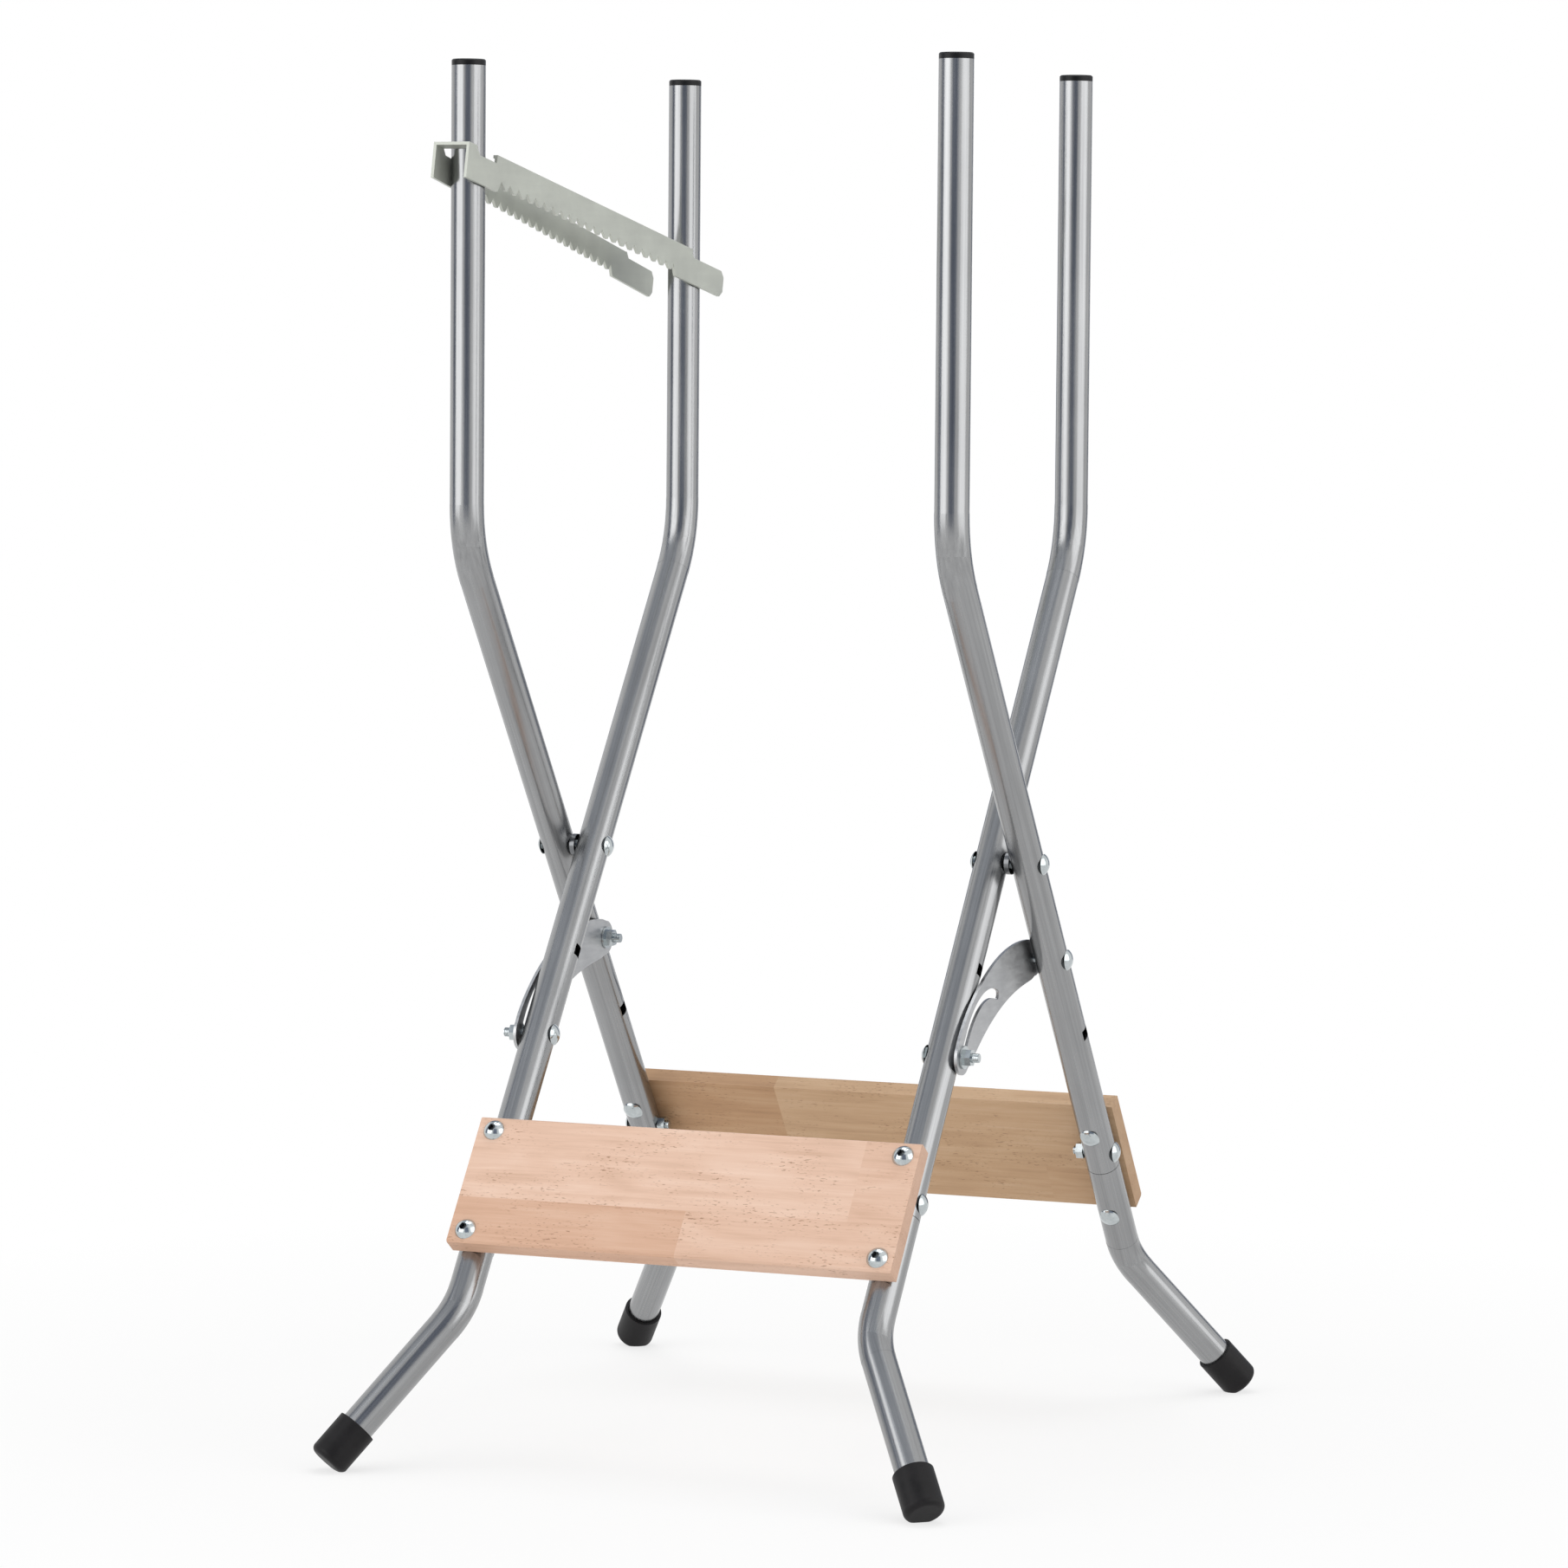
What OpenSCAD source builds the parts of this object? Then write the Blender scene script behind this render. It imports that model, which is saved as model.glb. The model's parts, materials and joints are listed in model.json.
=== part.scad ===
// Folding log saw stand: two crossed pairs of bent steel tubes joined by two boards,
// held open by slotted stays, with a toothed claw bar on the left uprights.
// The feet stand on z = 0, the uprights point along +Z and the front board faces -Y.

/* [Frame] */
// Outside diameter of the steel tube
tube_d = 22.2; // [19:0.1:28]
// Wall of the steel tube
tube_wall = 1.5; // [1:0.1:2.5]
// Width over the two outer tubes
frame_w = 360; // [300:1:480]
// Gap between an outer tube and the inner tube beside it
tube_gap = 3.4; // [3:0.1:6]
// Lean of the crossed legs from upright, in degrees
leg_lean = 35.4; // [30:0.1:40]
// Pivot to the corner of the upper bend, along the leg
upper_leg = 251; // [200:1:320]
// Corner of the upper bend to the end of the upright
upright_h = 311; // [240:1:420]
// Radius of the upper bend at the tube's centre line
upper_bend_r = 85; // [60:1:120]
// Pivot to the lower end of the long tube
joint_s = 264.5; // [258:0.5:276]
// Pivot to the corner of the foot bend, along the leg
lower_leg = 350; // [345:1:420]
// Corner of the foot bend to the end of the foot tube
foot_l = 124; // [100:1:180]
// Radius of the foot bend at the tube's centre line
foot_bend_r = 62; // [45:1:80]
// Outward splay of the feet, in degrees
foot_splay = 28.5; // [20:0.1:34]
// Length of the foot tube's spigot inside the long tube
spigot_l = 22; // [18:0.5:28]
// Open seam between the end of the long tube and the foot tube's shoulder
joint_seam = 0.4; // [0.2:0.1:2]
// Swell of a bend's wall over the straight tube, on each face
bend_swell = 0.1; // [0.1:0.05:0.3]
// Length of straight tube that runs on inside a bend's wall
bend_lap = 1; // [0.5:0.1:2]

/* [Boards] */
// Thickness of a board
board_t = 13; // [10:0.5:20]
// Height of a board along the leg
board_h = 92; // [88:0.5:110]
// Pivot to the upper edge of a board, along the leg
board_s = 222.4; // [215:0.5:226]
// Board edge to the centre of its screws
screw_inset = 9.6; // [8:0.1:14]
// Bevel of a board's outer long edges
board_bevel = 1.2; // [0.5:0.1:3]

/* [Stays] */
// Pivot to the upper cross hole of a leg
upper_hole_s = 82; // [75:0.1:95]
// Pivot to the lower cross hole of a leg
lower_hole_s = 146; // [140:0.1:160]
// Thickness of a stay
stay_t = 2; // [1.5:0.1:2.6]
// Radius of the stay's curve through its two bolts
stay_r = 165; // [120:1:260]
// Radius of a stay's round ends
stay_edge = 11.5; // [9:0.1:14]
// Width of a stay above its curve, at the middle
stay_crown = 15; // [13:0.1:20]
// Width of a stay below its curve, at the middle
stay_belly = 17.5; // [15:0.1:22]
// Turn of a stay for each degree of fold
stay_ratio = 1.38; // [1.3:0.01:1.42]
// Fold from open to stowed, in degrees
fold_travel = 52; // [30:1:54]

/* [Claw bar] */
// Top of the uprights down to the claw bar, at the front upright
claw_drop = 54.6; // [40:0.1:190]
// Dip of the claw bar towards the rear, in degrees
claw_dip = 11.8; // [4:0.1:16]
// Thickness of the claw sheet
claw_t = 2; // [1.5:0.1:3]
// Height of the claw's arms
claw_h = 23.5; // [20:0.1:32]
// Length of the arms in front of the front upright
claw_front = 23; // [21:0.1:34]
// Length of the arms behind the rear upright
claw_rear = 35; // [20:0.5:50]
// Number of teeth on each arm
tooth_count = 21; // [10:1:26]
// Depth of a tooth
tooth_h = 4.6; // [3:0.1:7]
// Step up from an arm's lower edge to the tooth tips
tooth_step = 3.2; // [2:0.1:5]
// Plain edge of an arm before its first tooth
tooth_margin = 8; // [6:0.5:14]
// Plain edge of an arm after its last tooth, as far as the web
tooth_tail = 24; // [18:0.5:40]
// Dip of an arm's upper edge beside an upright
notch_dip = 5.5; // [4:0.1:8]
// Rounding of an arm's corners
claw_round = 4; // [2:0.1:5]
// Room between the web and an upright
web_play = 2.2; // [1.5:0.1:6]

/* [Feet and caps] */
// Outside diameter of a rubber foot
rubber_d = 26.6; // [25:0.1:34]
// Length of a rubber foot
rubber_l = 30; // [24:0.5:44]
// Thickness of a rubber foot under the tube
rubber_base = 7; // [5:0.5:12]
// Height of an end cap above its tube
cap_h = 4; // [2:0.1:8]
// Depth of an end cap's plug in its tube
cap_plug = 14; // [8:0.5:24]
// Bevel of an end cap
cap_bevel = 0.8; // [0.5:0.1:2]
// Rounding of a rubber foot's lower edge
foot_round = 4; // [2:0.1:6]
// Depth of the flat that the floor makes on a rubber foot
floor_flat = 1.4; // [0.8:0.1:2]

/* [Fasteners] */
// Diameter of the pivot bolts
pivot_d = 8; // [6:0.5:10]
// Diameter of the other bolts and screws
bolt_d = 6; // [5:0.5:8]
// Width of the square holes that take the square necks of the stays' bolts
square_w = 8; // [6.8:0.1:9]
// Length of a bolt's square neck
neck_l = 3.5; // [2:0.1:6]
// Diameter of a domed bolt head
dome_d = 14; // [12.8:0.1:18]
// Height of a domed bolt head
dome_h = 3.2; // [2:0.1:5]
// Diameter of a board screw's head
screw_head_d = 14.5; // [12:0.1:18]
// Height of a board screw's head
screw_head_h = 4.6; // [3:0.1:6]
// Width across the flats of a nut
nut_af = 10; // [9:0.1:13]
// Height of a nut
nut_h = 5; // [4:0.1:8]
// Diameter of a washer
washer_d = 15; // [13:0.1:18]
// Thickness of a washer
washer_t = 1.2; // [0.8:0.1:2]
// Length of a bolt beyond its nut
bolt_tail = 5; // [2:0.5:10]
// Pitch of the thread on a bolt's tail
thread_p = 1; // [0.8:0.05:1.25]
// Depth of the thread on a bolt's tail
thread_h = 0.4; // [0.2:0.05:0.6]
// Wall of a sleeve nut's barrel
barrel_wall = 1.2; // [0.8:0.1:2]
// Length of a board screw inside its sleeve nut
screw_bite = 13; // [8:0.5:16]
// Width across the corners of the hexagon socket in a board screw's head
socket_d = 5.4; // [3:0.1:6]
// Depth of metal left under the socket, as a share of the head's height
socket_floor = 0.3; // [0.2:0.05:0.6]

/* [Fits] */
// Running fit of a pin, on its radius
run_fit = 0.05; // [0.02:0.01:0.1]
// Loose fit of a bolt in its hole, on its radius
loose_fit = 0.25; // [0.15:0.01:0.5]
// Fit of a piece that seats in or on another
seat_fit = 0.15; // [0.1:0.01:0.2]
// Room between the claw's arms and the uprights
side_play = 0.6; // [0.5:0.05:1]

/* [Hidden] */
// Overrun of a cut, and the steps of round and curved outlines
overrun = 1;
fine = 64;
round_steps = 24;

tube_r = tube_d / 2;
bore_r = tube_r - tube_wall;
outer_x = frame_w / 2 - tube_r;
inner_x = outer_x - tube_d - tube_gap;
stay_x = (outer_x + inner_x) / 2;
upper_tangent = upper_bend_r * tan(leg_lean / 2);
foot_tangent = foot_bend_r * tan(foot_splay / 2);
screw_s = [board_s + screw_inset, board_s + board_h - screw_inset];
cross_s = joint_s - spigot_l / 2;
spigot_r = bore_r - seat_fit;
barrel_r = bolt_d / 2 + seat_fit + barrel_wall;

// Height of the pivot, from the lowest edge of a foot that runs down at foot_steep
foot_steep = acos(cos(foot_splay) * cos(leg_lean));
foot_reach = foot_l + rubber_base - foot_round;
foot_drop = lower_leg * cos(leg_lean) + foot_reach * cos(foot_steep);
foot_edge = (rubber_d / 2 - foot_round) * sin(foot_steep) + foot_round;
pivot_z = foot_drop + foot_edge - floor_flat;
upright_y = upper_leg * sin(leg_lean);
upright_top = upper_leg * cos(leg_lean) + upright_h;
claw_up = upright_top - claw_drop;

left = -1;
right = 1;
rear = 1;
front = -1;

// A point of the y-z plane turned about the x axis
function turned(p, a) = [p[0] * cos(a) - p[1] * sin(a), p[0] * sin(a) + p[1] * cos(a)];

// Path of the lock bolt as the stay sees it, from open to folded
stay_eye = [upper_hole_s * sin(leg_lean), -upper_hole_s * cos(leg_lean)];
lock_rest = [-lower_hole_s * sin(leg_lean), -lower_hole_s * cos(leg_lean)];
function slot_point(fold) = stay_eye + turned(turned(lock_rest, fold) - stay_eye, -stay_ratio * fold);

slot_end = slot_point(fold_travel);
slot_line = [for (i = [0 : round_steps]) slot_point(fold_travel * i / round_steps)];

// Curve of a stay through its eye and the lock bolt, around a centre below it
stay_chord = lock_rest - stay_eye;
stay_side = [stay_chord[1], -stay_chord[0]] / norm(stay_chord);
stay_mid = stay_eye + stay_chord / 2 - stay_side * sqrt(pow(stay_r, 2) - pow(norm(stay_chord) / 2, 2));
stay_from = atan2(stay_eye[1] - stay_mid[1], stay_eye[0] - stay_mid[0]);
stay_to = atan2(lock_rest[1] - stay_mid[1], lock_rest[0] - stay_mid[0]);
function stay_point(t, r) =
    let (a = stay_from + (stay_to - stay_from) * t)
    stay_mid + [cos(a), sin(a)] * r;
function swell(t, wide) = stay_edge + (wide - stay_edge) * pow(sin(180 * t), 1 / 2);
stay_upper = [for (i = [0 : round_steps])
    let (t = i / round_steps) stay_point(t, stay_r + swell(t, stay_crown))];
stay_lower = [for (i = [round_steps : -1 : 0])
    let (t = i / round_steps) stay_point(t, stay_r - swell(t, stay_belly))];

// Unit normal of a line of points at one of them
function normal_at(line, i) =
    let (a = line[max(i - 1, 0)], b = line[min(i + 1, len(line) - 1)], d = (b - a) / norm(b - a))
    [-d[1], d[0]];

// Points of a round end between two angles, without its first and last point
function round_end(centre, r, from, to) = [for (i = [1 : round_steps - 1])
    let (a = from + (to - from) * i / round_steps)
    centre + [cos(a), sin(a)] * r];

// Outline of a stay: upper edge, round end, lower edge, round end
stay_outline = concat(
    stay_upper,
    round_end(lock_rest, stay_edge, stay_to, stay_to + 180),
    stay_lower,
    round_end(stay_eye, stay_edge, stay_from + 180, stay_from + 360)
);

// Outline of its slot: one side along the path of the lock bolt, and back along the other
slot_half = bolt_d / 2 + loose_fit;
slot_last = len(slot_line) - 1;
slot_out = slot_line[slot_last] - slot_line[slot_last - 1];
slot_in = slot_line[1] - slot_line[0];
slot_out_a = atan2(slot_out[1], slot_out[0]);
slot_in_a = atan2(slot_in[1], slot_in[0]);
slot_outline = concat(
    [for (i = [0 : slot_last]) slot_line[i] + normal_at(slot_line, i) * slot_half],
    round_end(slot_end, slot_half, slot_out_a + 90, slot_out_a - 90),
    [for (i = [slot_last : -1 : 0]) slot_line[i] - normal_at(slot_line, i) * slot_half],
    round_end(lock_rest, slot_half, slot_in_a - 90, slot_in_a - 270)
);

// Place children in the frame of a leg: origin at the pivot, z up along the leg, y out to the board
module leg(side, row) {
    mirror([side == left ? 1 : 0, 0, 0])
        mirror([0, row == front ? 1 : 0, 0])
            translate([row == rear ? outer_x : inner_x, 0, pivot_z])
                rotate([leg_lean, 0, 0])
                    children();
}

// Both legs of one row
module both(row) {
    for (side = [left, right])
        leg(side, row) children();
}

module ring(outer, inner) {
    difference() {
        circle(outer, $fn = fine);
        circle(inner, $fn = fine);
    }
}

module pipe(length, outer = tube_r, inner = bore_r) {
    linear_extrude(length) ring(outer, inner);
}

// Cylinder along x, from one end to the other
module along_x(r, from, to) {
    translate([from, 0, 0])
        rotate([0, 90, 0])
            cylinder(r = r, h = to - from, $fn = fine);
}

// Cylinder along y, from one end to the other
module along_y(r, from, to) {
    translate([0, from, 0])
        rotate([-90, 0, 0])
            cylinder(r = r, h = to - from, $fn = fine);
}

// Long tube of a leg: straight leg, upper bend and upright, with its cross holes
module long_tube() {
    through = tube_r + overrun;
    bend_z = upper_leg - upper_tangent;
    difference() {
        union() {
            translate([0, 0, -joint_s])
                pipe(joint_s + bend_z + bend_lap);
            translate([0, upper_bend_r, bend_z])
                rotate([90, 0, -90])
                    rotate_extrude(angle = leg_lean, $fn = fine * 2)
                        translate([upper_bend_r, 0])
                            ring(tube_r + bend_swell, bore_r - bend_swell);
            upright_run()
                translate([0, 0, -bend_lap])
                    pipe(upright_h - upper_tangent + bend_lap);
        }
        along_x(pivot_d / 2 + run_fit, -through, through);
        for (s = [upper_hole_s, lower_hole_s])
            translate([0, 0, -s])
                cube([2 * through, square_w, square_w], center = true);
        translate([0, 0, -cross_s])
            along_x(bolt_d / 2 + loose_fit, -through, through);
        translate([0, 0, -screw_s[0]])
            along_y(barrel_r + loose_fit, -through, through);
    }
}

// Place children where the straight upright starts, with z up the upright
module upright_run() {
    translate([0, upper_bend_r, upper_leg - upper_tangent])
        rotate([-leg_lean, 0, 0])
            translate([0, -upper_bend_r, 0])
                children();
}

// Lower tube of a leg: spigot, straight run, foot bend and foot
module foot_tube() {
    through = tube_r + overrun;
    shoulder_z = -joint_s - joint_seam;
    bend_z = -(lower_leg - foot_tangent);
    difference() {
        union() {
            translate([0, 0, shoulder_z])
                pipe(spigot_l + joint_seam, spigot_r, spigot_r - tube_wall);
            translate([0, 0, bend_z - bend_lap])
                pipe(shoulder_z - bend_z + bend_lap, tube_r, spigot_r - tube_wall);
            translate([foot_bend_r, 0, bend_z])
                rotate([90, 180, 0])
                    rotate_extrude(angle = foot_splay, $fn = fine * 2)
                        translate([foot_bend_r, 0])
                            ring(tube_r + bend_swell, spigot_r - tube_wall - bend_swell);
            foot_run()
                translate([0, 0, -(foot_l - foot_tangent)])
                    pipe(foot_l - foot_tangent + bend_lap, tube_r, spigot_r - tube_wall);
        }
        translate([0, 0, -cross_s])
            along_x(bolt_d / 2 + loose_fit, -through, through);
        translate([0, 0, -screw_s[1]])
            along_y(barrel_r + loose_fit, -through, through);
    }
}

// Place children where the straight foot starts, with z back up the foot
module foot_run() {
    translate([foot_bend_r, 0, -(lower_leg - foot_tangent)])
        rotate([0, -foot_splay, 0])
            translate([-foot_bend_r, 0, 0])
                children();
}

// Half outline of a rubber foot, pushed over the end of its tube
module rubber_outline() {
    end_z = -(foot_l - foot_tangent);
    low_z = end_z - rubber_base;
    top_z = low_z + rubber_l;
    outer = rubber_d / 2;
    arc = [for (i = [0 : round_steps])
        let (a = -90 + 90 * i / round_steps)
        [outer - foot_round + foot_round * cos(a), low_z + foot_round + foot_round * sin(a)]];
    polygon(concat([[0, low_z]], arc, [
        [outer, top_z - seat_fit],
        [outer - seat_fit, top_z],
        [tube_r + seat_fit, top_z],
        [tube_r + seat_fit, end_z],
        [0, end_z]
    ]));
}

module rubber_foot(side, row) {
    keep = frame_w + lower_leg;
    intersection() {
        leg(side, row)
            foot_run()
                rotate_extrude($fn = fine)
                    rubber_outline();
        translate([-keep, -keep, 0])
            cube([2 * keep, 2 * keep, keep]);
    }
}

// Cap on top of an upright, with its plug inside the tube
module end_cap() {
    plug_r = bore_r - seat_fit;
    upright_run()
        translate([0, 0, upright_h - upper_tangent])
            rotate_extrude($fn = fine)
                polygon([
                    [0, -cap_plug], [plug_r - seat_fit, -cap_plug], [plug_r, -cap_plug + cap_bevel],
                    [plug_r, 0], [tube_r, 0], [tube_r, cap_h - cap_bevel],
                    [tube_r - cap_bevel, cap_h], [0, cap_h]
                ]);
}

// Board across both legs of a row, with rounded long edges and its screw holes
module board(row) {
    half = (row == rear ? outer_x : inner_x) + tube_r;
    difference() {
        mirror([0, row == front ? 1 : 0, 0])
            translate([-half, 0, pivot_z])
                rotate([leg_lean, 0, 0])
                    rotate([90, 0, 90])
                        linear_extrude(2 * half)
                            board_section();
        both(row)
            for (s = screw_s)
                translate([0, 0, -s])
                    along_y(bolt_d / 2 + loose_fit, tube_r - overrun, tube_r + board_t + overrun);
    }
}

// Section of a board: y out from the tubes, z up along the leg
module board_section() {
    inside = tube_r;
    outside = tube_r + board_t;
    upper = -board_s;
    lower = -board_s - board_h;
    polygon([
        [inside, lower], [outside - board_bevel, lower], [outside, lower + board_bevel],
        [outside, upper - board_bevel], [outside - board_bevel, upper], [inside, upper]
    ]);
}

// Low dome on a flat base, standing on z = 0
module dome(d, h) {
    ball_r = (d * d / 4 + h * h) / (2 * h);
    rotate_extrude($fn = fine)
        polygon(concat([[0, 0]], [for (i = [0 : round_steps])
            let (a = asin(d / 2 / ball_r) * (1 - i / round_steps))
            [ball_r * sin(a), h - ball_r + ball_r * cos(a)]]));
}

// Board screw: raised head with a hexagon socket, and a shank into the barrel of its nut
module board_screw() {
    seat = tube_r + board_t;
    along_y(bolt_d / 2, seat - board_t - screw_bite, seat);
    translate([0, seat, 0])
        rotate([-90, 0, 0])
            difference() {
                dome(screw_head_d, screw_head_h);
                translate([0, 0, screw_head_h * socket_floor])
                    cylinder(d = socket_d, h = screw_head_h, $fn = 6);
            }
}

// Domed sleeve nut: its barrel crosses the tube and takes the screw
module sleeve_nut() {
    difference() {
        union() {
            translate([0, -tube_r, 0])
                rotate([90, 0, 0])
                    dome(dome_d, dome_h);
            along_y(barrel_r, -tube_r, tube_r - seat_fit);
        }
        along_y(bolt_d / 2 + seat_fit, -tube_r + tube_wall, tube_r);
    }
}

// Threaded tail of a bolt: rings on a thinner core, from its tip
module thread(d, tip, length) {
    if (length > 0)
        along_x(d / 2 - thread_h, tip, tip + length + overrun);
    for (i = [0 : 1 : floor(length / thread_p) - 1])
        along_x(d / 2, tip + thread_p * (i + 1 / 4), tip + thread_p * (i + 3 / 4));
}

// Domed bolt along x, with its head against the outer face of a tube and a neck where it has one
module dome_bolt(d, tip, tail = 0, neck_w = 0) {
    along_x(d / 2, tip + tail, tube_r);
    thread(d, tip, tail);
    if (neck_w > 0)
        translate([tube_r - neck_l, -neck_w / 2, -neck_w / 2])
            cube([neck_l, neck_w, neck_w]);
    translate([tube_r, 0, 0])
        rotate([0, 90, 0])
            dome(dome_d, dome_h);
}

// Hexagon nut along x, from one face to the other, open for its bolt
module hex_nut(d, from, to) {
    difference() {
        translate([from, 0, 0])
            rotate([0, 90, 0])
                cylinder(d = nut_af / cos(30), h = to - from, $fn = 6);
        along_x(d / 2 + seat_fit, from - overrun, to + overrun);
    }
}

module washer(d, from, to) {
    difference() {
        along_x(washer_d / 2, from, to);
        along_x(d / 2 + seat_fit, from - overrun, to + overrun);
    }
}

// Bolts through the joint of a long tube and a foot tube
module joint_bolts(row) {
    both(row)
        translate([0, 0, -cross_s])
            dome_bolt(bolt_d, -tube_r - nut_h - bolt_tail / 2, bolt_tail / 2);
}

module joint_nuts(row) {
    both(row)
        translate([0, 0, -cross_s])
            hex_nut(bolt_d, -tube_r - nut_h, -tube_r);
}

// Slotted stay of one side, in the gap between the tubes
module stay(side) {
    mirror([side == left ? 1 : 0, 0, 0])
        translate([stay_x - stay_t / 2, 0, pivot_z])
            rotate([90, 0, 90])
                linear_extrude(stay_t)
                    difference() {
                        polygon(stay_outline);
                        polygon(slot_outline);
                        translate(stay_eye) circle(bolt_d / 2 + run_fit, $fn = fine);
                    }
}

// Claw bar: two toothed arms joined by a strap in front of the front upright and by a web.
// The web leaves a straight way for the front upright, so that the stand can fold.
claw_reach = 2 * upright_y / cos(claw_dip);
oval = tube_r / cos(claw_dip);
strap_y = -oval - claw_t * tan(claw_dip) - side_play;
web_y = [oval + web_play, claw_reach - oval - web_play];
near_x = -outer_x + tube_r + side_play;
far_x = -inner_x + tube_r + side_play;
arm_yaw = atan((far_x - near_x) / claw_reach);

// Side outline of an arm: length to the rear, height down from the web
module arm_outline() {
    start = -claw_front;
    end = claw_reach + claw_rear;
    tips = -claw_h + tooth_step;
    roots = tips + tooth_h;
    first = web_y[0] + tooth_margin;
    last = web_y[1] - tooth_tail;
    pitch = (last - first) / tooth_count;
    teeth = [for (i = [0 : tooth_count - 1]) each [
        [first + pitch * i, roots],
        [first + pitch * (i + 1 / 2), tips],
        [first + pitch * (i + 3 / 4), tips]
    ]];
    polygon(concat(
        [[start, -claw_t], [start, -claw_h], [first - tooth_margin / 2, -claw_h]],
        teeth,
        [[last, roots], [last + tooth_margin / 2, -claw_h], [end - claw_round, -claw_h],
         [end, -claw_h + claw_round], [end, -notch_dip - claw_round],
         [end - claw_round, -notch_dip], [web_y[1] + claw_round, -notch_dip],
         [web_y[1], -notch_dip + claw_round], [web_y[1], -claw_t], [web_y[0], -claw_t],
         [web_y[0], -notch_dip], [strap_y + claw_round, -notch_dip],
         [strap_y, -notch_dip + claw_round], [strap_y, -claw_t]]
    ));
}

// An arm as a sheet standing on the y axis, with its thickness towards +x
module arm() {
    rotate([90, 0, 90])
        linear_extrude(claw_t)
            arm_outline();
}

module claw_web() {
    side_x = -outer_x - tube_r - side_play;
    yaw_x = tan(arm_yaw);
    linear_extrude(claw_t)
        polygon([
            [side_x - claw_t, -claw_front], [near_x + claw_t - yaw_x * claw_front, -claw_front],
            [near_x + claw_t + yaw_x * strap_y, strap_y], [side_x - claw_t, strap_y]
        ]);
    linear_extrude(claw_t)
        polygon([
            [near_x, web_y[0]], [near_x + claw_t + yaw_x * web_y[0], web_y[0]],
            [near_x + claw_t + yaw_x * web_y[1], web_y[1]], [near_x, web_y[1]]
        ]);
}

module outer_left_tube() { color("silver") leg(left, rear) long_tube(); }
module outer_right_tube() { color("silver") leg(right, rear) long_tube(); }
module inner_left_tube() { color("silver") leg(left, front) long_tube(); }
module inner_right_tube() { color("silver") leg(right, front) long_tube(); }
module rear_left_foot_tube() { color("silver") leg(left, rear) foot_tube(); }
module rear_right_foot_tube() { color("silver") leg(right, rear) foot_tube(); }
module front_left_foot_tube() { color("silver") leg(left, front) foot_tube(); }
module front_right_foot_tube() { color("silver") leg(right, front) foot_tube(); }
module outer_left_end_cap() { color("black") leg(left, rear) end_cap(); }
module outer_right_end_cap() { color("black") leg(right, rear) end_cap(); }
module inner_left_end_cap() { color("black") leg(left, front) end_cap(); }
module inner_right_end_cap() { color("black") leg(right, front) end_cap(); }
module rear_left_rubber_foot() { color("black") rubber_foot(left, rear); }
module rear_right_rubber_foot() { color("black") rubber_foot(right, rear); }
module front_left_rubber_foot() { color("black") rubber_foot(left, front); }
module front_right_rubber_foot() { color("black") rubber_foot(right, front); }
module rear_board() { color("burlywood") board(rear); }
module front_board() { color("burlywood") board(front); }
module rear_joint_bolts() { color("lightgray") joint_bolts(rear); }
module front_joint_bolts() { color("lightgray") joint_bolts(front); }
module rear_joint_nuts() { color("lightgray") joint_nuts(rear); }
module front_joint_nuts() { color("lightgray") joint_nuts(front); }
module left_stay() { color("gray") stay(left); }
module right_stay() { color("gray") stay(right); }

// Both boards have a row of screws and sleeve nuts at the height of each screw
module screws(row) {
    both(row)
        for (s = screw_s)
            translate([0, 0, -s]) board_screw();
}
module nuts(row) {
    both(row)
        for (s = screw_s)
            translate([0, 0, -s]) sleeve_nut();
}
module rear_board_screws() { color("lightgray") screws(rear); }
module front_board_screws() { color("lightgray") screws(front); }
module rear_board_nuts() { color("lightgray") nuts(rear); }
module front_board_nuts() { color("lightgray") nuts(front); }

// Pivot: a domed bolt from outside, washers between the tubes and a domed nut inside
pivot_in = outer_x - inner_x;
module pivot_bolts() {
    color("lightgray") both(rear) dome_bolt(pivot_d, -pivot_in - tube_r);
}
module pivot_nuts() {
    color("lightgray")
        both(rear)
            translate([-pivot_in - tube_r, 0, 0])
                rotate([0, -90, 0])
                    dome(dome_d, dome_h);
}
module pivot_washers() {
    color("lightgray") both(rear) washer(pivot_d, -tube_r - tube_gap + seat_fit, -tube_r);
}

// Bolt that carries a stay on the outer tube, and the lock bolt in its slot on the inner tube
stay_in = outer_x - stay_x + stay_t / 2;
stay_out = stay_x + stay_t / 2 - inner_x;
neck_w = square_w - 2 * seat_fit;
module stay_pivot_bolts() {
    color("lightgray")
        both(rear)
            translate([0, 0, -upper_hole_s])
                dome_bolt(bolt_d, -stay_in - washer_t - nut_h - bolt_tail, bolt_tail, neck_w);
}
module stay_pivot_washers() {
    color("lightgray")
        both(rear)
            translate([0, 0, -upper_hole_s])
                washer(bolt_d, -stay_in - washer_t - seat_fit, -stay_in - seat_fit);
}
module stay_pivot_nuts() {
    color("lightgray")
        both(rear)
            translate([0, 0, -upper_hole_s])
                hex_nut(bolt_d, -stay_in - washer_t - seat_fit - nut_h, -stay_in - washer_t - seat_fit);
}
module stay_lock_bolts() {
    color("lightgray")
        both(front)
            translate([0, 0, -lower_hole_s])
                mirror([1, 0, 0])
                    dome_bolt(bolt_d, -stay_out - washer_t - nut_h - bolt_tail, bolt_tail, neck_w);
}
module stay_lock_washers() {
    color("lightgray")
        both(front)
            translate([0, 0, -lower_hole_s])
                washer(bolt_d, stay_out + seat_fit, stay_out + washer_t + seat_fit);
}
module stay_lock_nuts() {
    color("lightgray")
        both(front)
            translate([0, 0, -lower_hole_s])
                hex_nut(bolt_d, stay_out + washer_t + seat_fit, stay_out + washer_t + seat_fit + nut_h);
}

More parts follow.
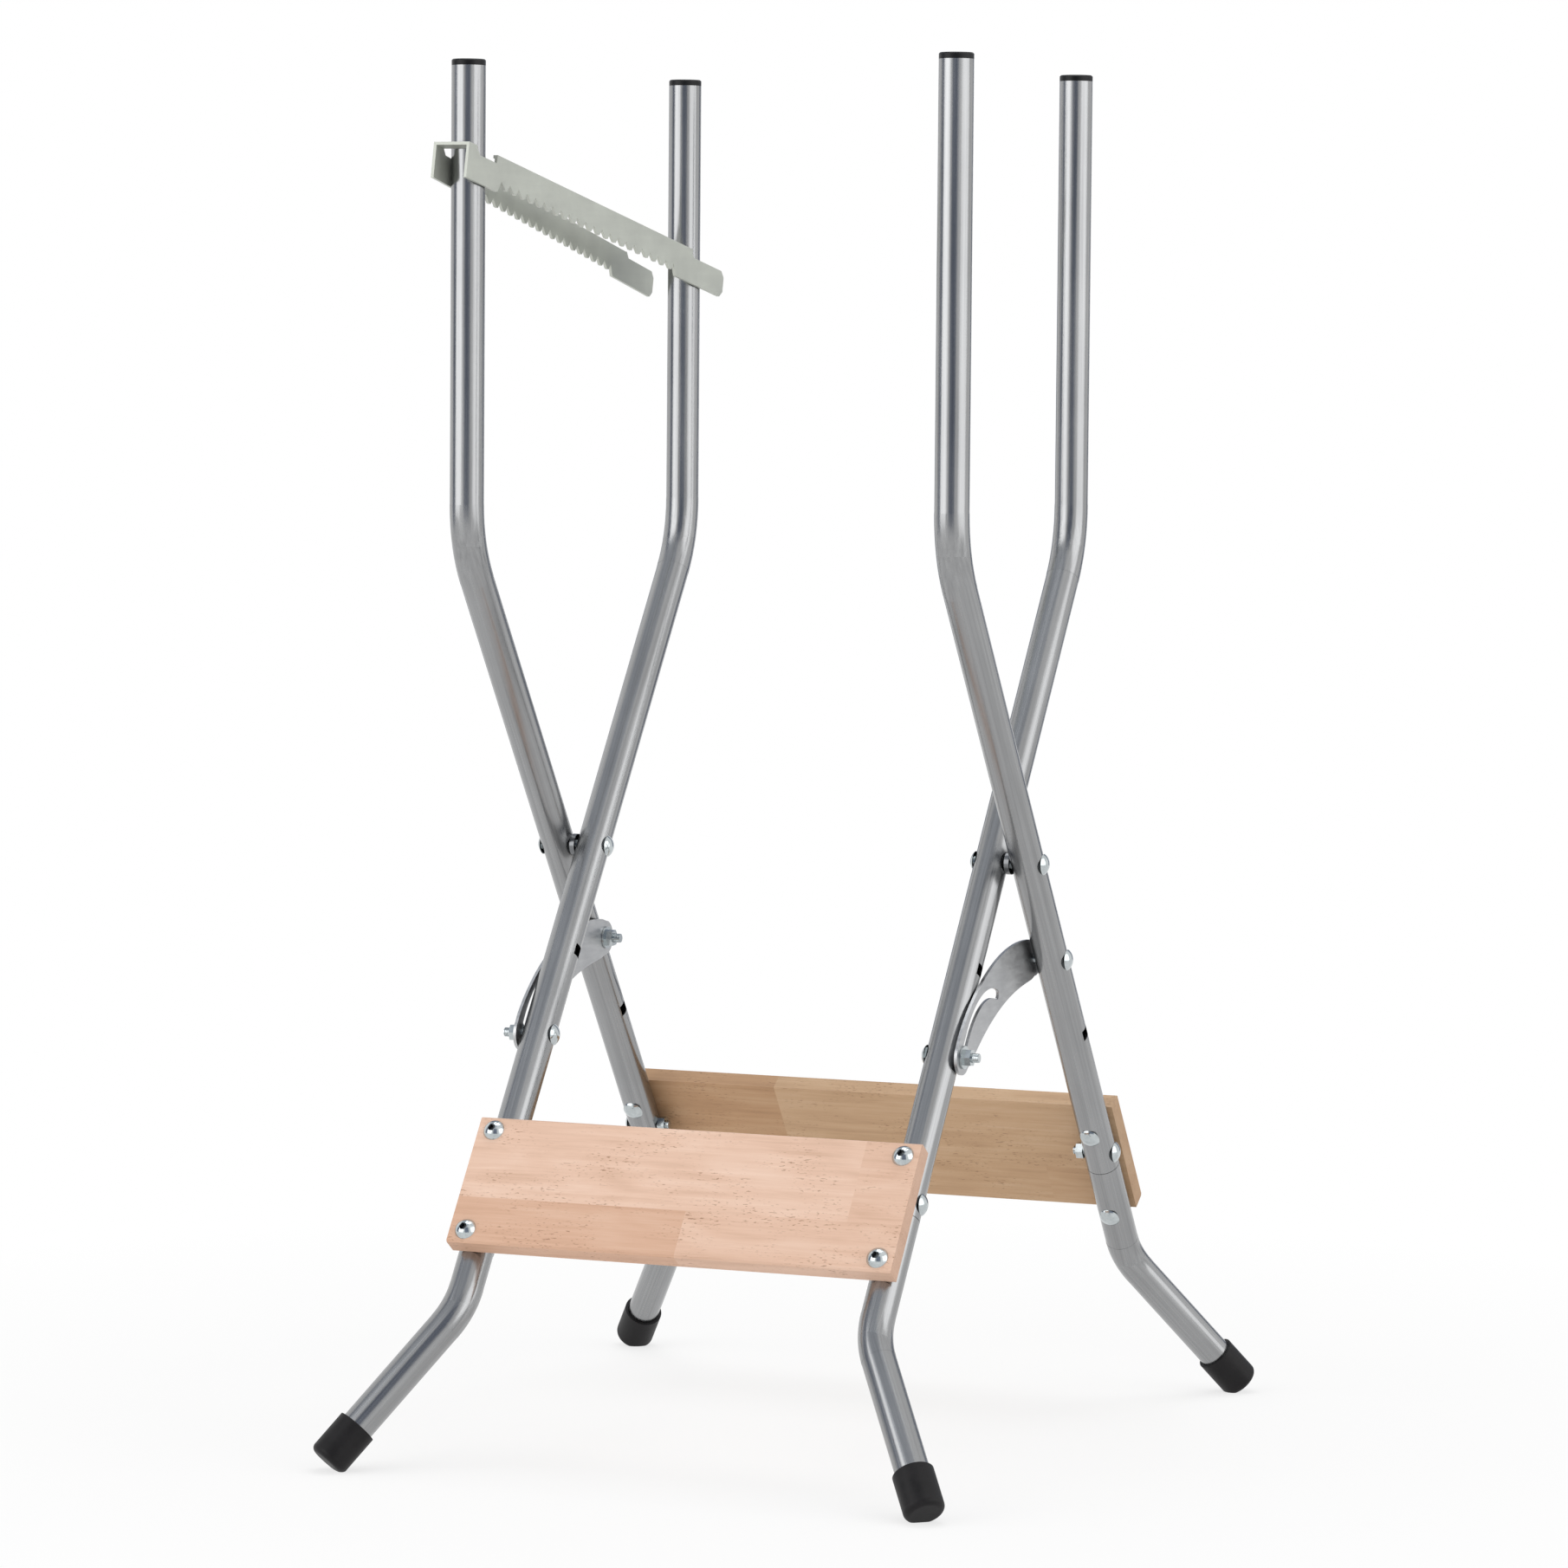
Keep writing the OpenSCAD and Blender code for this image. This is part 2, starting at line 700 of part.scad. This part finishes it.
module claw_bar() {
    color("lightsteelblue")
        translate([0, -upright_y, pivot_z + claw_up])
            rotate([-claw_dip, 0, 0])
                translate([0, 0, -claw_t]) {
                    claw_web();
                    translate([0, 0, claw_t]) {
                        translate([-outer_x - tube_r - side_play - claw_t, 0, 0])
                            arm();
                        translate([near_x, 0, 0])
                            rotate([0, 0, -arm_yaw])
                                arm();
                    }
                }
}

outer_left_tube();
outer_right_tube();
rear_left_foot_tube();
rear_right_foot_tube();
rear_board();
rear_board_screws();
rear_board_nuts();
rear_joint_bolts();
rear_joint_nuts();
rear_left_rubber_foot();
rear_right_rubber_foot();
outer_left_end_cap();
outer_right_end_cap();
pivot_bolts();
pivot_nuts();
pivot_washers();
stay_pivot_bolts();
stay_pivot_washers();
stay_pivot_nuts();
inner_left_tube();
inner_right_tube();
front_left_foot_tube();
front_right_foot_tube();
front_board();
front_board_screws();
front_board_nuts();
front_joint_bolts();
front_joint_nuts();
front_left_rubber_foot();
front_right_rubber_foot();
inner_left_end_cap();
inner_right_end_cap();
stay_lock_bolts();
stay_lock_washers();
stay_lock_nuts();
left_stay();
right_stay();
claw_bar();
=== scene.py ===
import json
import math

import bpy
from mathutils import Matrix, Vector

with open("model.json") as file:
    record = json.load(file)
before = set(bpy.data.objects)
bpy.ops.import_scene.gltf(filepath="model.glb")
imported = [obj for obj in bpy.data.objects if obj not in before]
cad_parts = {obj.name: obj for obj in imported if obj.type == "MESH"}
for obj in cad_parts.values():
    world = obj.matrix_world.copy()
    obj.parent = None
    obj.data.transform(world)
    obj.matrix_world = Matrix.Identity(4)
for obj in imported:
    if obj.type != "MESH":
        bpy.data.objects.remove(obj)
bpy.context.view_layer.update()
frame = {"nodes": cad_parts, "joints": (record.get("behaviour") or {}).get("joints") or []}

NODES = frame["nodes"]
JOINTS = {joint["name"]: joint for joint in frame["joints"]}
SCENE = bpy.context.scene

# Height of the pivot, and lean of the legs, which carry the stays' bolts on their axes
PIVOT_Z = JOINTS["fold"]["pos_m"][2]
STAY_BOLT = JOINTS["left_stay_swing"]["pos_m"]
LEAN = math.atan2(STAY_BOLT[1], PIVOT_Z - STAY_BOLT[2])

# Legs above and below the pivot, and the outward splay of the feet
UPPER_LEG, LOWER_LEG = 0.251, 0.35
FOOT_SPLAY = math.radians(28.5)

# Where the uprights begin, and where the feet begin on the axis of a leg
UPRIGHT_Z = PIVOT_Z + UPPER_LEG * math.cos(LEAN)
FOOT_BEND = PIVOT_Z * math.cos(LEAN) - LOWER_LEG


# Node helpers

def socket(sockets, name, kind):
    """The socket of that type, on a node with several sockets of one name."""
    return next(s for s in sockets if s.name == name and s.type == kind)


class Nodes:
    """A node tree with short calls for the nodes that the looks are made of."""

    def __init__(self, tree):
        self.tree = tree

    def feed(self, value, into):
        """Links an output to a socket, or sets the socket to a plain value."""
        if isinstance(value, bpy.types.NodeSocket):
            self.tree.links.new(value, into)
        elif into.type == "RGBA":
            into.default_value = (*value, 1.0)
        else:
            into.default_value = value

    def add(self, kind, inputs=None, **settings):
        node = self.tree.nodes.new("ShaderNode" + kind)
        for key, value in settings.items():
            setattr(node, key, value)
        for key, value in (inputs or {}).items():
            self.feed(value, node.inputs[key])
        return node

    def position(self):
        return self.add("TexCoord").outputs["Object"]

    def math(self, operation, *values):
        return self.add("Math", dict(enumerate(values)), operation=operation).outputs["Value"]

    def vector_math(self, operation, *values):
        return self.add("VectorMath", dict(enumerate(values)), operation=operation).outputs

    def parts(self, vector):
        split = self.add("SeparateXYZ", {"Vector": vector})
        return split.outputs["X"], split.outputs["Y"], split.outputs["Z"]

    def joined(self, x, y, z):
        return self.add("CombineXYZ", {"X": x, "Y": y, "Z": z}).outputs["Vector"]

    def turned(self, vector, about, angle):
        turn = self.add("VectorRotate", {"Vector": vector, "Angle": angle}, rotation_type=about)
        return turn.outputs["Vector"]

    def noise(self, vector, scale, detail, rough, distortion=0.0):
        inputs = {"Vector": vector, "Scale": scale, "Detail": detail, "Roughness": rough}
        return self.add("TexNoise", {**inputs, "Distortion": distortion}).outputs["Fac"]

    def drawn_noise(self, vector, per_metre, quality, location=(0.0, 0.0, 0.0)):
        """Noise with its own scale along each axis. The quality is detail, roughness and distortion."""
        stretched = self.add("Mapping", {"Vector": vector, "Scale": per_metre, "Location": location})
        return self.noise(stretched.outputs["Vector"], 1.0, *quality)

    def shared(self, a, b, share):
        """The given share of a, with b for the rest."""
        return self.math("ADD", self.math("MULTIPLY", a, share), self.math("MULTIPLY", b, 1.0 - share))

    def remap(self, value, source, result):
        inputs = {"Value": value, "From Min": source[0], "From Max": source[1]}
        return self.add("MapRange", {**inputs, "To Min": result[0], "To Max": result[1]}).outputs["Result"]

    def ramp(self, value, stops):
        node = self.add("ValToRGB", {"Fac": value})
        elements = node.color_ramp.elements
        for at, _ in stops[1:-1]:
            elements.new(at)
        for element, (at, colour) in zip(elements, stops):
            element.position = at
            element.color = (*colour, 1.0)
        return node.outputs["Color"]

    def mix(self, kind, factor, a, b, blend="MIX"):
        """Mixes two colours, kind RGBA, or two vectors, kind VECTOR."""
        node = self.add("Mix", data_type=kind, blend_type=blend)
        self.feed(factor, socket(node.inputs, "Factor", "VALUE"))
        self.feed(a, socket(node.inputs, "A", kind))
        self.feed(b, socket(node.inputs, "B", kind))
        return socket(node.outputs, "Result", kind)


class Mat(Nodes):
    """A material with a Principled shader."""

    def __init__(self, name, **values):
        self.mat = bpy.data.materials.new(name)
        self.mat.use_nodes = True
        super().__init__(self.mat.node_tree)
        self.shader = self.tree.nodes["Principled BSDF"]
        self.surface(**values)

    def surface(self, **values):
        for key, value in values.items():
            self.feed(value, self.shader.inputs[key.replace("_", " ")])

    def bump(self, height, strength, depth):
        bump = self.add("Bump", {"Height": height, "Strength": strength, "Distance": depth})
        self.surface(Normal=bump.outputs["Normal"])


# The stretch of a noise's range that holds nearly all of its values
NOISE_SPAN = (0.3, 0.7)

# Plated steel: quality of each noise, the stretches of tone that the looks span, and the drawn grain
CLOUD_QUALITY, STREAK_QUALITY, DRAWN_QUALITY = (4.0, 0.6), (5.0, 0.65), (4.0, 0.6)
STEEL_TONE_SPAN, STEEL_ROUGH_SPAN = (0.34, 0.64), (0.38, 0.6)
DRAWN_FINER, DRAWN_DEPTH = 4.0, 0.0002

# Painted shade in the recesses of small fasteners, darker where ambient occlusion finds them shut in: its
# tone, and the span from nearly shut in to nearly open
RECESS_SHADE_TONE = (0.025, 0.025, 0.027)
RECESS_SPAN, RECESS_SAMPLES = (0.35, 0.75), 8


def along_tube(m, lean):
    """Position with z along the tube: the splayed foot, the leaning leg or the upright."""
    p = m.position()
    leg = m.turned(p, "X_AXIS", lean)
    leg_x, leg_y, leg_z = m.parts(leg)
    foot = m.turned(m.joined(m.math("ABSOLUTE", leg_x), leg_y, leg_z), "Y_AXIS", FOOT_SPLAY)
    low = m.math("LESS_THAN", leg_z, FOOT_BEND)
    high = m.math("GREATER_THAN", m.parts(p)[2], UPRIGHT_Z)
    return m.mix("VECTOR", high, m.mix("VECTOR", low, leg, foot), p)


def with_recess_shade(m, colour, depth):
    """The colour, with painted shade from ambient occlusion in recesses of about that depth."""
    shut_in = m.add("AmbientOcclusion", {"Distance": depth}, samples=RECESS_SAMPLES, only_local=True)
    shaded = m.remap(shut_in.outputs["AO"], RECESS_SPAN, (1.0, 0.0))
    return m.mix("RGBA", shaded, colour, RECESS_SHADE_TONE)


def steel(
        name, dark, light, rough, streak, mottle, cloudy=0.4, grain=0.05, metal=1.0, lean=None, recess=None):
    """Plated steel: cloudy tone, drawn streaks along the part and a roughness that follows them."""
    m = Mat(name, Metallic=metal)
    p = m.position() if lean is None else along_tube(m, lean)
    cloud = m.noise(p, mottle, *CLOUD_QUALITY)
    tone = m.shared(cloud, m.drawn_noise(p, streak, STREAK_QUALITY), cloudy)
    colour = m.ramp(tone, list(zip(STEEL_TONE_SPAN, (dark, light))))
    # Painted shade: recesses darkened by ambient occlusion
    if recess:
        colour = with_recess_shade(m, colour, recess)
    m.surface(Base_Color=colour, Roughness=m.remap(tone, STEEL_ROUGH_SPAN, rough))
    drawn = m.drawn_noise(p, tuple(DRAWN_FINER * s for s in streak), DRAWN_QUALITY)
    m.bump(drawn, grain, DRAWN_DEPTH)
    return m.mat


# Staves that a board is glued up from: height and length of one
STAVE_H, STAVE_L = 0.06, 0.3
# How far the lowest row is cut down, and how far the end joints move along from row to row
STAVE_CUT, STAVE_STEP = 0.027, 0.111
# Tint of the darkest and of the palest stave
STAVE_TINTS = ((0.86, 0.77, 0.71), (1.06, 1.09, 1.14))

# Beech: waves per metre along each axis, and quality, of each noise
GRAIN_SCALE, GRAIN_QUALITY = (9.0, 260.0, 260.0), (6.0, 0.7, 0.35)
FIGURE_SCALE, FIGURE_QUALITY = (9.0, 34.0, 34.0), (3.0, 0.5, 1.6)
PATCH_SCALE, PATCH_QUALITY = (26.0, 60.0, 60.0), (2.0, 0.5)
DASH_SCALE, DASH_QUALITY = (300.0, 1250.0, 1250.0), (1.0, 0.4)
# Share of grain in the tone, and where the dark, middle and pale tones lie in it
GRAIN_SHARE, TONE_STOPS = 0.6, (0.3, 0.5, 0.7)
# End faces, darker partly as end grain's own tone and partly as painted shade: how squarely a face looks
# along x, and how much darker it is
END_FACING, END_SHARE = 0.9, 0.3
# Flecks: stretch of the dashes that shows, how strongly, and the patches that hold them
DASH_SPAN, DASH_SHOWS, PATCH_SPAN = (0.635, 0.70), (0.0, 0.7), (0.42, 0.62)
WOOD_SPECULAR, WOOD_ROUGH = 0.3, (0.42, 0.6)
WOOD_BUMP, WOOD_DEPTH = 0.12, 0.0004


def stave_noise(m, along, up, first_joint, seed):
    """A random value and vector for each stave."""
    row = m.math("FLOOR", m.math("DIVIDE", m.math("ADD", up, STAVE_CUT), STAVE_H))
    start = m.math("ADD", along, m.math("MULTIPLY_ADD", row, -STAVE_STEP, -first_joint))
    column = m.math("FLOOR", m.math("DIVIDE", start, STAVE_L))
    stave = m.add("TexWhiteNoise", {"Vector": m.joined(row, column, seed)}, noise_dimensions="3D")
    return stave.outputs["Value"], stave.outputs["Color"]


def wood(name, lean, first_joint, seed, tones):
    """Glued beech: staves of slightly different tone, grain along x, short dark flecks."""
    m = Mat(name, Specular_IOR_Level=WOOD_SPECULAR)
    *body_tones, deep = tones
    p = m.position()
    up = m.vector_math("DOT_PRODUCT", p, (0.0, math.sin(lean), math.cos(lean)))["Value"]
    stave, shift = stave_noise(m, m.parts(p)[0], up, first_joint, seed)
    p = m.vector_math("ADD", p, shift)["Vector"]
    grain = m.drawn_noise(p, GRAIN_SCALE, GRAIN_QUALITY, (seed, 0.0, seed))
    figure = m.drawn_noise(p, FIGURE_SCALE, FIGURE_QUALITY, (seed, seed, 0.0))
    colour = m.ramp(m.shared(grain, figure, GRAIN_SHARE), list(zip(TONE_STOPS, body_tones)))
    colour = m.mix("RGBA", 1.0, colour, m.ramp(stave, list(enumerate(STAVE_TINTS))), "MULTIPLY")
    # End faces drawn darker: partly end grain's own tone, partly painted shade
    facing = m.parts(m.add("NewGeometry").outputs["True Normal"])[0]
    end_grain_and_shade = m.math("GREATER_THAN", m.math("ABSOLUTE", facing), END_FACING)
    colour = m.mix("RGBA", m.math("MULTIPLY", end_grain_and_shade, END_SHARE), colour, deep)
    patch = m.drawn_noise(p, PATCH_SCALE, PATCH_QUALITY, (seed, 0.0, 0.0))
    dash = m.drawn_noise(p, DASH_SCALE, DASH_QUALITY, (0.0, seed, 0.0))
    fleck = m.math("MULTIPLY", m.remap(dash, DASH_SPAN, DASH_SHOWS), m.remap(patch, PATCH_SPAN, (0.0, 1.0)))
    m.surface(
        Base_Color=m.mix("RGBA", fleck, colour, deep),
        Roughness=m.remap(grain, NOISE_SPAN, WOOD_ROUGH))
    m.bump(m.math("SUBTRACT", grain, fleck), WOOD_BUMP, WOOD_DEPTH)
    return m.mat


# Black rubber and plastic: the dust on it, how much paler that is, and the moulded grain
DUST_SCALE, DUST_QUALITY = 90.0, (4.0, 0.6)
DUST_SPAN, DUST_PALER = (0.35, 0.75), 2.2
MOULD_QUALITY, MOULD_DEPTH = (2.0, 0.5), 0.0003
POLYMER_SPECULAR = 0.22


def dark_polymer(name, colour, rough, grain, grain_scale):
    """Black rubber or plastic: slight dust in the tone and a fine moulded grain."""
    m = Mat(name, Specular_IOR_Level=POLYMER_SPECULAR)
    p = m.position()
    dust = m.noise(p, DUST_SCALE, *DUST_QUALITY)
    dusty = tuple(DUST_PALER * c for c in colour)
    m.surface(
        Base_Color=m.ramp(dust, list(zip(DUST_SPAN, (colour, dusty)))),
        Roughness=m.remap(dust, NOISE_SPAN, rough))
    m.bump(m.noise(p, grain_scale, *MOULD_QUALITY), grain, MOULD_DEPTH)
    return m.mat


# Finishes

TUBE_LOOK = dict(
    dark=(0.262, 0.265, 0.269), light=(0.36, 0.364, 0.368), rough=(0.19, 0.28),
    streak=(420.0, 420.0, 4.0), mottle=14.0, cloudy=0.25, grain=0.04)
BOLT_LOOK = dict(
    dark=(0.42, 0.455, 0.465), light=(0.58, 0.62, 0.63), rough=(0.12, 0.2),
    streak=(260.0, 260.0, 260.0), mottle=120.0)
SOCKET_DEPTH = 0.004

OUTER_TUBE = steel("galvanised_outer_tube", **TUBE_LOOK, lean=-LEAN)
INNER_TUBE = steel("galvanised_inner_tube", **TUBE_LOOK, lean=LEAN)
STAY = steel(
    "zinc_stay", dark=(0.41, 0.415, 0.42), light=(0.54, 0.545, 0.55), rough=(0.30, 0.42),
    streak=(60.0, 60.0, 420.0), mottle=60.0)
CLAW = steel(
    "zinc_claw", dark=(0.45, 0.465, 0.42), light=(0.535, 0.555, 0.5), rough=(0.38, 0.5),
    streak=(300.0, 14.0, 300.0), mottle=30.0, cloudy=0.7, metal=0.4)
DARK_BOLT = steel(
    "dark_zinc", dark=(0.14, 0.145, 0.15), light=(0.22, 0.225, 0.235), rough=(0.2, 0.3),
    streak=(260.0, 260.0, 260.0), mottle=120.0)
BOLT = steel("bright_zinc", **BOLT_LOOK)
# The screws carry painted shade in their sockets
SCREW = steel("bright_zinc_screw", **BOLT_LOOK, recess=SOCKET_DEPTH)
RUBBER = dark_polymer(
    "black_rubber", colour=(0.0055, 0.005, 0.0055), rough=(0.42, 0.56), grain=0.2, grain_scale=900.0)
CAP = dark_polymer(
    "black_cap", colour=(0.004, 0.004, 0.0045), rough=(0.32, 0.44), grain=0.1, grain_scale=1400.0)

# Tones of the two boards: dark, middle and pale, and the deep one of flecks and of the end faces, which is
# partly end grain and partly painted shade
PINK_BEECH = ((0.63, 0.41, 0.285), (0.76, 0.52, 0.385), (0.84, 0.62, 0.485), (0.30, 0.155, 0.085))
TAN_BEECH = ((0.43, 0.27, 0.15), (0.545, 0.36, 0.21), (0.62, 0.445, 0.285), (0.22, 0.115, 0.055))
WOOD_FRONT = wood("beech_front", lean=LEAN, first_joint=0.006, seed=1.15, tones=PINK_BEECH)
WOOD_REAR = wood("beech_rear", lean=-LEAN, first_joint=-0.179, seed=1.1, tones=TAN_BEECH)


def finish_of(name):
    """The material of a node, by what its name says it is."""
    if name == "front_board":
        return WOOD_FRONT
    if name == "rear_board":
        return WOOD_REAR
    if "rubber" in name:
        return RUBBER
    if "end_cap" in name:
        return CAP
    if name.endswith("_tube"):
        return OUTER_TUBE if name.startswith(("outer", "rear")) else INNER_TUBE
    if name in ("left_stay", "right_stay"):
        return STAY
    if name == "claw_bar":
        return CLAW
    if name.endswith("board_screws"):
        return SCREW
    return DARK_BOLT if name == "pivot_washers" else BOLT


for name, obj in NODES.items():
    if not obj.material_slots:
        obj.data.materials.append(finish_of(name))
    for slot in obj.material_slots:
        slot.material = finish_of(name)


# Stage: pale floor, white surround, grey cards and soft lamps

WHITE, BLACK = (1.0, 1.0, 1.0), (0.0, 0.0, 0.0)
# Floor: half its width, its tone, how white it looks near the object, and where that fades to white
FLOOR, FLOOR_TONE, FLOOR_ROUGH = 9.0, (0.9, 0.9, 0.9), 0.9
NEAR_WHITE, SHADE_SPAN = 0.72, (0.45, 1.0)
# Light that the surround gives the object
WORLD_LIGHT = 0.62


def seen_rays(nodes):
    """1 where the camera, or a reflection or something clear, looks at the backdrop."""
    rays = nodes.add("LightPath").outputs
    seen = nodes.math("MAXIMUM", rays["Is Camera Ray"], rays["Is Glossy Ray"])
    return nodes.math("MAXIMUM", seen, rays["Is Transmission Ray"])


def stage_plane(name, corners, material):
    mesh = bpy.data.meshes.new(name)
    mesh.from_pydata(corners, [], [(0, 1, 2, 3)])
    mesh.materials.append(material)
    plane = bpy.data.objects.new(name, mesh)
    SCENE.collection.objects.link(plane)
    return plane


def pale_floor():
    """Plain white further out, and near the object mostly white with its shadow."""
    m = Mat("pale_floor", Roughness=FLOOR_ROUGH, Base_Color=FLOOR_TONE, Specular_IOR_Level=0.0)
    away = m.vector_math("LENGTH", m.position())["Value"]
    white = m.math("MULTIPLY", m.remap(away, SHADE_SPAN, (NEAR_WHITE, 1.0)), seen_rays(m))
    glow = m.add("Emission").outputs["Emission"]
    mixed = m.add("MixShader", {0: white, 1: m.shader.outputs["BSDF"], 2: glow})
    m.feed(mixed.outputs["Shader"], m.tree.nodes["Material Output"].inputs["Surface"])
    return m.mat


stage_plane("floor", [(x, y, 0) for x, y in (
    (-FLOOR, -FLOOR), (FLOOR, -FLOOR), (FLOOR, FLOOR), (-FLOOR, FLOOR))], pale_floor())

world = bpy.data.worlds.new("studio")
world.use_nodes = True
SCENE.world = world
surround = Nodes(world.node_tree)
backdrop = surround.tree.nodes["Background"]
surround.feed(WHITE, backdrop.inputs["Color"])
level = surround.remap(seen_rays(surround), (0.0, 1.0), (WORLD_LIGHT, 1.0))
surround.feed(level, backdrop.inputs["Strength"])


# Cards that only the metal's reflections see: distance and height of the standing ones
CARD_REACH, CARD_TOP = 3.4, 3.4
# Height of the ceiling card, its ends along x and its half depth
CEILING_Z, CEILING_X, CEILING_Y = 3.6, (-3.4, 1.2), 3.4
CARD_TONE, CEILING_TONE = (0.24, 0.27, 0.34), (0.60, 0.63, 0.68)


def card(name, corners, tone):
    m = Mat(name, Base_Color=BLACK, Specular_IOR_Level=0.0, Emission_Color=tone, Emission_Strength=1.0)
    plane = stage_plane(name, corners, m.mat)
    plane.visible_camera = False
    plane.visible_diffuse = False
    plane.visible_shadow = False
    plane.visible_transmission = False


def standing_card(name, facing, half_angle):
    """A card that stands on the floor and spans the given angle around the object."""
    ends = [math.radians(facing + side * half_angle) for side in (-1, 1)]
    a, b = ((CARD_REACH * math.cos(end), CARD_REACH * math.sin(end)) for end in ends)
    card(name, [(*a, 0), (*b, 0), (*b, CARD_TOP), (*a, CARD_TOP)], CARD_TONE)


standing_card("card_front", facing=-72.0, half_angle=19.0)
standing_card("card_right", facing=72.0, half_angle=10.0)
standing_card("card_back", facing=118.0, half_angle=18.0)
standing_card("card_left", facing=200.0, half_angle=12.0)
left_x, right_x = CEILING_X
card("card_ceiling", [(x, y, CEILING_Z) for x, y in (
    (left_x, -CEILING_Y), (right_x, -CEILING_Y), (right_x, CEILING_Y), (left_x, CEILING_Y))], CEILING_TONE)


def lamp(name, place, target, size, power):
    light = bpy.data.lights.new(name, "AREA")
    light.shape = "RECTANGLE"
    light.size, light.size_y = size
    light.energy = power
    obj = bpy.data.objects.new(name, light)
    obj.location = place
    aim = Vector(target) - Vector(place)
    obj.rotation_euler = aim.to_track_quat("-Z", "Y").to_euler()
    SCENE.collection.objects.link(obj)


lamp("key", place=(-2.2, -2.6, 1.5), target=(0.0, 0.0, 0.8), size=(3.4, 2.8), power=48.0)
lamp("fill", place=(3.25, -0.3, 1.4), target=(0.0, 0.0, 0.8), size=(3.2, 2.6), power=33.0)
lamp("top", place=(0.0, 0.6, 3.2), target=(0.0, 0.0, 0.4), size=(2.0, 2.0), power=28.0)


# Camera fitted to the photograph

IMAGE_PX, SENSOR_W, CLIP_END = 1810, 36.0, 50.0


def camera(place, turn, look_down, roll, focal_px):
    a, e, r = (math.radians(v) for v in (turn, look_down, roll))
    ahead = Vector((-math.sin(a) * math.cos(e), math.cos(a) * math.cos(e), -math.sin(e)))
    level_right = Vector((math.cos(a), math.sin(a), 0.0))
    level_down = ahead.cross(level_right)
    right = math.cos(r) * level_right + math.sin(r) * level_down
    down = -math.sin(r) * level_right + math.cos(r) * level_down
    data = bpy.data.cameras.new("camera")
    data.sensor_width = SENSOR_W
    data.lens = focal_px / IMAGE_PX * SENSOR_W
    data.clip_end = CLIP_END
    obj = bpy.data.objects.new("camera", data)
    axes = Matrix((right, -down, -ahead)).transposed()
    obj.matrix_world = Matrix.Translation(place) @ axes.to_4x4()
    SCENE.collection.objects.link(obj)
    SCENE.camera = obj


camera(
    place=(1.50772, -3.62579, PIVOT_Z + 0.32245), turn=22.64, look_down=4.02, roll=-0.47, focal_px=6843.8)
SCENE.view_settings.view_transform = "Standard"
